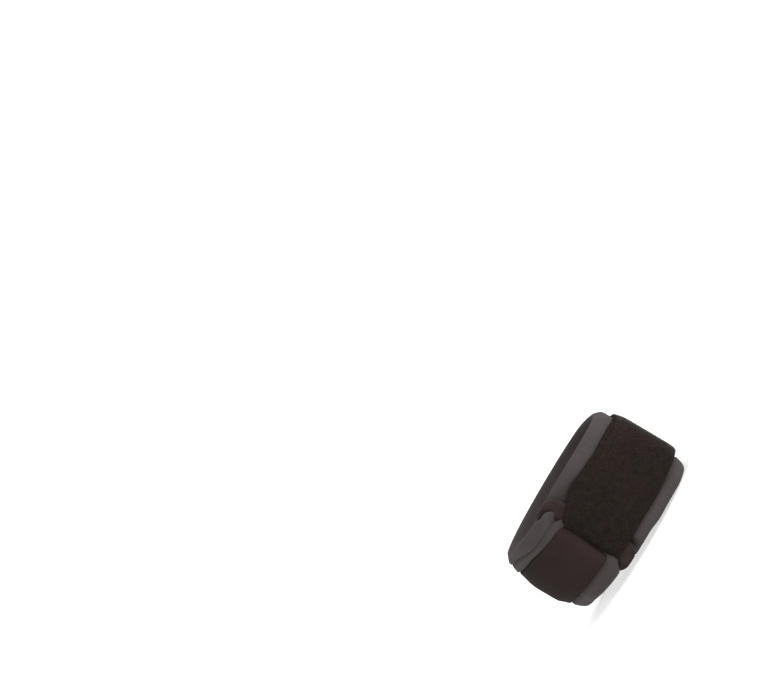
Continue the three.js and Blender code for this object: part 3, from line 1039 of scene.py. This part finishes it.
def make_ring(material):
    """A rectangular moulded frame with round bars, between the two bars' places."""
    upper = Vector(around(UPPER_BAR["angle"], UPPER_BAR["lift"]))
    lower = Vector(around(LOWER_BAR["angle"], LOWER_BAR["lift"]))
    height = (upper - lower).length + RING_BAR
    hole_length = RING_LENGTH - 2 * RING_POST
    hole_height = height - 2 * RING_BAR

    made = bmesh.new()
    unit_grid(made, 1, 1)
    bmesh.ops.scale(made, verts=made.verts, vec=(RING_LENGTH, height, 1))
    outer = list(made.verts)
    bmesh.ops.inset_region(made, faces=made.faces, thickness=RING_BAR)
    inner = [vert for vert in made.verts if vert not in outer]
    hole = [face for face in made.faces if all(vert in inner for vert in face.verts)]
    bmesh.ops.delete(made, geom=hole, context="FACES_ONLY")
    for vert in inner:
        x = math.copysign(hole_length / 2, vert.co.x)
        y = math.copysign(hole_height / 2, vert.co.y)
        vert.co = Vector((x, y, 0))
    for corners, radius in ((outer, RING_OUTER_CORNER), (inner, RING_HOLE_CORNER)):
        round_off(made, corners, radius, "VERTICES", 8)
    bmesh.ops.solidify(made, geom=made.faces, thickness=RING_THICK)
    level = sum(vert.co.z for vert in made.verts) / len(made.verts)
    bmesh.ops.translate(made, verts=made.verts, vec=(0, 0, -level))
    bmesh.ops.recalc_face_normals(made, faces=made.faces)
    sharp = [edge for edge in made.edges if edge.calc_face_angle(0) > 1.2]
    round_off(made, sharp, RING_EDGE_ROUND, "EDGES", 5)

    down = (lower - upper).normalized()
    across = Vector((0, 0, 1))
    along = Vector((down.x, down.y, 0))
    outward = across.cross(along)
    turn = Matrix((across, along, outward)).transposed().to_4x4()
    middle = (upper + lower) / 2
    spot = (middle.x + CENTRE_X, middle.y + CENTRE_Y, BAND_WIDTH / 2 + RING_OFFSET)
    place = Matrix.Scale(MM, 4) @ Matrix.Translation(spot) @ turn
    bmesh.ops.transform(made, verts=made.verts, matrix=place)
    return finished("ring", made, material)


def make_stitches(path, section, material):
    """Two rows of lock stitches that sew the lower strap down, each stitch a short bowed thread."""
    made = bmesh.new()
    first = path["along"][0] + STITCH_START
    last = np.interp(STITCH_FOLD_SHARE, path["fold"], path["along"])
    count = int((last - first) / STITCH_PITCH)
    for side in (-1, 1):
        line = side * (LOWER_STRAP_WIDTH / 2 - STITCH_FROM_EDGE)
        for number in range(count):
            begin = first + number * STITCH_PITCH
            thread = unit_grid(made, 6, 6)
            share = np.array([vert.co.x + 0.5 for vert in thread])
            turn = np.array([vert.co.y + 0.5 for vert in thread]) * 2 * np.pi
            arch = np.sin(np.pi * share)
            radius = THREAD_RADIUS * mix(THREAD_TAPER, 1.0, arch**0.5)
            along = begin + share * STITCH_LENGTH
            across = line + radius * np.cos(turn)
            through = np.ones_like(along)
            surface = wrapped(path, section, along, across, through, lower_strap_relief)
            height = (THREAD_BOW * arch - THREAD_SUNK + radius * np.sin(turn)) * MM
            normal_x = at(path, "normal_x", along)
            normal_y = at(path, "normal_y", along)
            for i, vert in enumerate(thread):
                vert.co = surface[i] + np.array([normal_x[i], normal_y[i], 0.0]) * height[i]
    close_seams(made)
    return finished("strap_stitches", made, material)


def vectors(data, key):
    """A mesh's vectors as the rows of an array."""
    values = np.empty(len(data) * 3, np.float32)
    data.foreach_get(key, values)
    return values.reshape(-1, 3)


def mark_brushed(strap):
    """Marks where the strap carries nap: the face of the flap that looks outwards."""
    mesh = strap.data
    brushed = mesh.attributes.new("nap", "FLOAT", "POINT")
    points = vectors(mesh.vertices, "co") / MM
    normals = vectors(mesh.vertex_normals, "vector")
    x = points[:, 0] - CENTRE_X
    y = points[:, 1] - CENTRE_Y
    angle = np.degrees(np.arctan2(-y / HOLLOW_DEEP, x / HOLLOW_ACROSS))
    wall_x, wall_y = around(angle, 0.0)
    lift = np.hypot(x, y) - np.hypot(wall_x, wall_y)
    turn = np.radians(angle)
    outwards = np.cos(turn) * normals[:, 0] - np.sin(turn) * normals[:, 1]
    on_flap = (lift > CLOSURE_FLAP_LIFT - 0.2) | (angle > UPPER_BAR["angle"])
    brushed.data.foreach_set("value", (on_flap & (outwards > NAP_OUTWARDS)).astype(np.float32))


def nap_loop(material):
    """One loop of the nap: a narrow arched ribbon."""
    made = bmesh.new()
    for vert in unit_grid(made, 4, 1):
        arch = math.sin(math.pi * (vert.co.x + 0.5))
        x = vert.co.x * NAP_LOOP["length"]
        y = vert.co.y * NAP_LOOP["width"]
        z = NAP_LOOP["height"] * arch - NAP_LOOP["root"]
        vert.co = (x * MM, y * MM, z * MM)
    return finished("nap_loop", made, material)


def scatter_nodes(strap, loop):
    """Nodes that plant loops all over the brushed face, each with its own turn, size and tone."""
    tree = bpy.data.node_groups.new("scatter_nap", "GeometryNodeTree")
    tree.interface.new_socket("Geometry", in_out="OUTPUT", socket_type="NodeSocketGeometry")

    def add(kind, inputs=None, **settings):
        return add_node(tree, kind, inputs, **settings)

    ground = add("GeometryNodeObjectInfo", {"Object": strap})
    fibre = add("GeometryNodeObjectInfo", {"Object": loop})
    brushed = add("GeometryNodeInputNamedAttribute", {"Name": "nap"}, data_type="FLOAT")
    density = add(
        "ShaderNodeMath", {0: brushed.outputs[0], 1: NAP_PER_MM2 / MM**2}, operation="MULTIPLY"
    )
    spread = add(
        "GeometryNodeDistributePointsOnFaces",
        {
            "Mesh": ground.outputs["Geometry"],
            "Density": density.outputs[0],
            "Seed": NAP_SEEDS["places"],
        },
        distribute_method="RANDOM",
    )
    lean = add(
        "FunctionNodeRandomValue",
        {
            0: (-NAP_LEAN, -NAP_LEAN, -math.pi),
            1: (NAP_LEAN, NAP_LEAN, math.pi),
            "Seed": NAP_SEEDS["turns"],
        },
        data_type="FLOAT_VECTOR",
    )
    spin = add("FunctionNodeEulerToRotation", {"Euler": lean.outputs[0]})
    turned = add(
        "FunctionNodeRotateRotation",
        {"Rotation": spread.outputs["Rotation"], "Rotate By": spin.outputs[0]},
        rotation_space="LOCAL",
    )
    small, large = NAP_SIZES
    size = add(
        "FunctionNodeRandomValue",
        {2: small, 3: large, "Seed": NAP_SEEDS["sizes"]},
        data_type="FLOAT",
    )
    planted = add(
        "GeometryNodeInstanceOnPoints",
        {
            "Points": spread.outputs["Points"],
            "Instance": fibre.outputs["Geometry"],
            "Rotation": turned.outputs[0],
            "Scale": size.outputs[1],
        },
    )
    place = add("GeometryNodeInputPosition")
    clumps = add(
        "ShaderNodeTexNoise",
        {"Vector": place.outputs[0], "Scale": 1 / (NAP_CLUMP * MM), "Detail": 2.0},
    )
    own = add(
        "FunctionNodeRandomValue",
        {2: -NAP_TONES["own"], 3: NAP_TONES["own"], "Seed": NAP_SEEDS["tones"]},
        data_type="FLOAT",
    )
    dark, light = NAP_TONES["clump"]
    wide = add(
        "ShaderNodeMapRange",
        {
            "Value": clumps.outputs["Fac"],
            "From Min": 0.3,
            "From Max": 0.7,
            "To Min": dark,
            "To Max": light,
        },
    )
    tone = add(
        "ShaderNodeMath",
        {0: own.outputs[1], 1: wide.outputs[0]},
        operation="ADD",
        use_clamp=True,
    )
    toned = add(
        "GeometryNodeStoreNamedAttribute",
        {"Geometry": planted.outputs[0], "Name": "tone", "Value": tone.outputs[0]},
        data_type="FLOAT",
        domain="INSTANCE",
    )
    upright = add(
        "GeometryNodeStoreNamedAttribute",
        {"Geometry": toned.outputs[0], "Name": "ground_normal", "Value": spread.outputs["Normal"]},
        data_type="FLOAT_VECTOR",
        domain="INSTANCE",
    )
    real = add("GeometryNodeRealizeInstances", {"Geometry": upright.outputs[0]})
    add("NodeGroupOutput", {0: real.outputs[0]})
    return tree


def calm_normals(mesh):
    """Shades the loops with the ground's normals, so that the nap catches the light as one face.

    The normals are levelled across the strap. Round the fold they turn no further than they do at
    the ring's upper bar.
    """
    normals = vectors(mesh.attributes["ground_normal"].data, "vector")
    normals[:, 2] *= NAP_EDGE_SLOPE
    outward = outward_at(UPPER_BAR["angle"])
    normals[normals[:, 0] < outward.x] = (*outward, 0)
    normals /= np.linalg.norm(normals, axis=1)[:, None]
    mesh.normals_split_custom_set_from_vertices(normals)


def make_nap(strap, material):
    """Loops scattered over the strap's brushed face by geometry nodes, then made a plain mesh."""
    loop = nap_loop(material)
    tree = scatter_nodes(strap, loop)
    scattered = bpy.data.objects.new("scatter", bpy.data.meshes.new("scatter"))
    bpy.context.scene.collection.objects.link(scattered)
    scattered.modifiers.new("Nap", "NODES").node_group = tree
    bpy.context.view_layer.update()
    graph = bpy.context.evaluated_depsgraph_get()
    mesh = bpy.data.meshes.new_from_object(scattered.evaluated_get(graph))
    mesh.name = "closure_nap"
    nap = bpy.data.objects.new("closure_nap", mesh)
    bpy.context.scene.collection.objects.link(nap)
    mesh.shade_smooth()
    calm_normals(mesh)
    for done in (scattered, loop):
        bpy.data.objects.remove(done)
    bpy.data.node_groups.remove(tree)
    return nap


# Camera, light and floor


def make_camera():
    """Level with the ring, slightly from the hand side, rolled, with the brace low on the right."""
    focal = VIEW_DISTANCE / PIXEL_MM
    data = bpy.data.cameras.new("camera")
    data.sensor_fit = "HORIZONTAL"
    data.sensor_width = 36.0
    data.lens = focal * data.sensor_width / PICTURE[0]
    data.clip_start = 0.01
    camera = bpy.data.objects.new("camera", data)
    bpy.context.scene.collection.objects.link(camera)
    bpy.context.scene.camera = camera

    elevation = math.radians(VIEW_ELEVATION)
    roll = math.radians(VIEW_ROLL)
    back = Vector((0, -math.cos(elevation), math.sin(elevation)))
    level = Vector((1, 0, 0))
    upright = Vector((0, math.sin(elevation), math.cos(elevation)))
    right = level * math.cos(roll) - upright * math.sin(roll)
    up = level * math.sin(roll) + upright * math.cos(roll)
    centred = Matrix((right, up, back)).transposed()
    aside = MIDDLE_PIXEL[0] - PICTURE[0] / 2
    above = PICTURE[1] / 2 - MIDDLE_PIXEL[1]
    seen = Vector((aside, above, -focal)).normalized()
    turn = seen.rotation_difference(Vector((0, 0, -1))).to_matrix()
    middle = Vector((CENTRE_X, CENTRE_Y, BAND_WIDTH / 2)) * MM
    place = middle + back * VIEW_DISTANCE * MM
    camera.matrix_world = Matrix.Translation(place) @ (centred @ turn).to_4x4()


def make_key_light():
    """One wide soft light on the side of the flap and the ring."""
    data = bpy.data.lights.new("key", "AREA")
    data.energy = KEY_LIGHT["energy"]
    data.size = KEY_LIGHT["size"]
    light = bpy.data.objects.new("key", data)
    light.location = KEY_LIGHT["place"]
    light.rotation_mode = "QUATERNION"
    aim = Vector(KEY_LIGHT_AIM) - Vector(KEY_LIGHT["place"])
    light.rotation_quaternion = aim.to_track_quat("-Z", "Y")
    bpy.context.scene.collection.objects.link(light)


def make_surroundings():
    """White surroundings, a little brighter towards +X."""
    world = bpy.data.worlds.new("studio")
    world.use_nodes = True
    tree = world.node_tree
    direction = add_node(tree, "ShaderNodeTexCoord")
    split = add_node(tree, "ShaderNodeSeparateXYZ", {0: direction.outputs["Generated"]})
    level = add_node(tree, "ShaderNodeMapRange", {"Value": split.outputs["X"]})
    ends = {"From Min": -1, "From Max": 1, "To Min": STUDIO_LEVELS[0], "To Max": STUDIO_LEVELS[1]}
    for socket, value in ends.items():
        level.inputs[socket].default_value = value
    background = tree.nodes["Background"]
    background.inputs["Color"].default_value = (1, 1, 1, 1)
    tree.links.new(level.outputs[0], background.inputs["Strength"])
    bpy.context.scene.world = world
    bpy.context.scene.view_settings.view_transform = "Standard"


def make_floor():
    """A pale floor that runs out of the picture."""
    made = bmesh.new()
    bmesh.ops.create_grid(made, x_segments=4, y_segments=4, size=FLOOR_HALF)
    finished("floor", made, pale_floor())


make_camera()
make_surroundings()
make_floor()
make_key_light()

band_cut = band_path()
band_section = flat_section(**BAND_SECTION)
band = cloth_strip("band", band_cut, band_section, band_relief, foam_knit())
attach(band, "root")
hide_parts("foam_band")

strap_cut = lower_strap_path(band_cut)
strap_section = flat_section(**LOWER_STRAP_SECTION)
lower_strap = cloth_strip(
    "sewn_strap", strap_cut, strap_section, lower_strap_relief, smooth_weave()
)
stitches = make_stitches(strap_cut, strap_section, sewing_thread())
for piece in (lower_strap, stitches):
    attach(piece, "root")
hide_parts("lower_strap")

closure_cut = closure_path()
closure_section = flat_section(**CLOSURE_SECTION)
closure = cloth_strip(
    "closing_strap", closure_cut, closure_section, closure_relief, brushed_ground()
)
mark_brushed(closure)
nap = make_nap(closure, nap_fibre())
for piece in (closure, nap):
    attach(piece, "root")
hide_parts("closure_strap")

ring = make_ring(ring_plastic())
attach(ring, "root")
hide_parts("ring_loop")
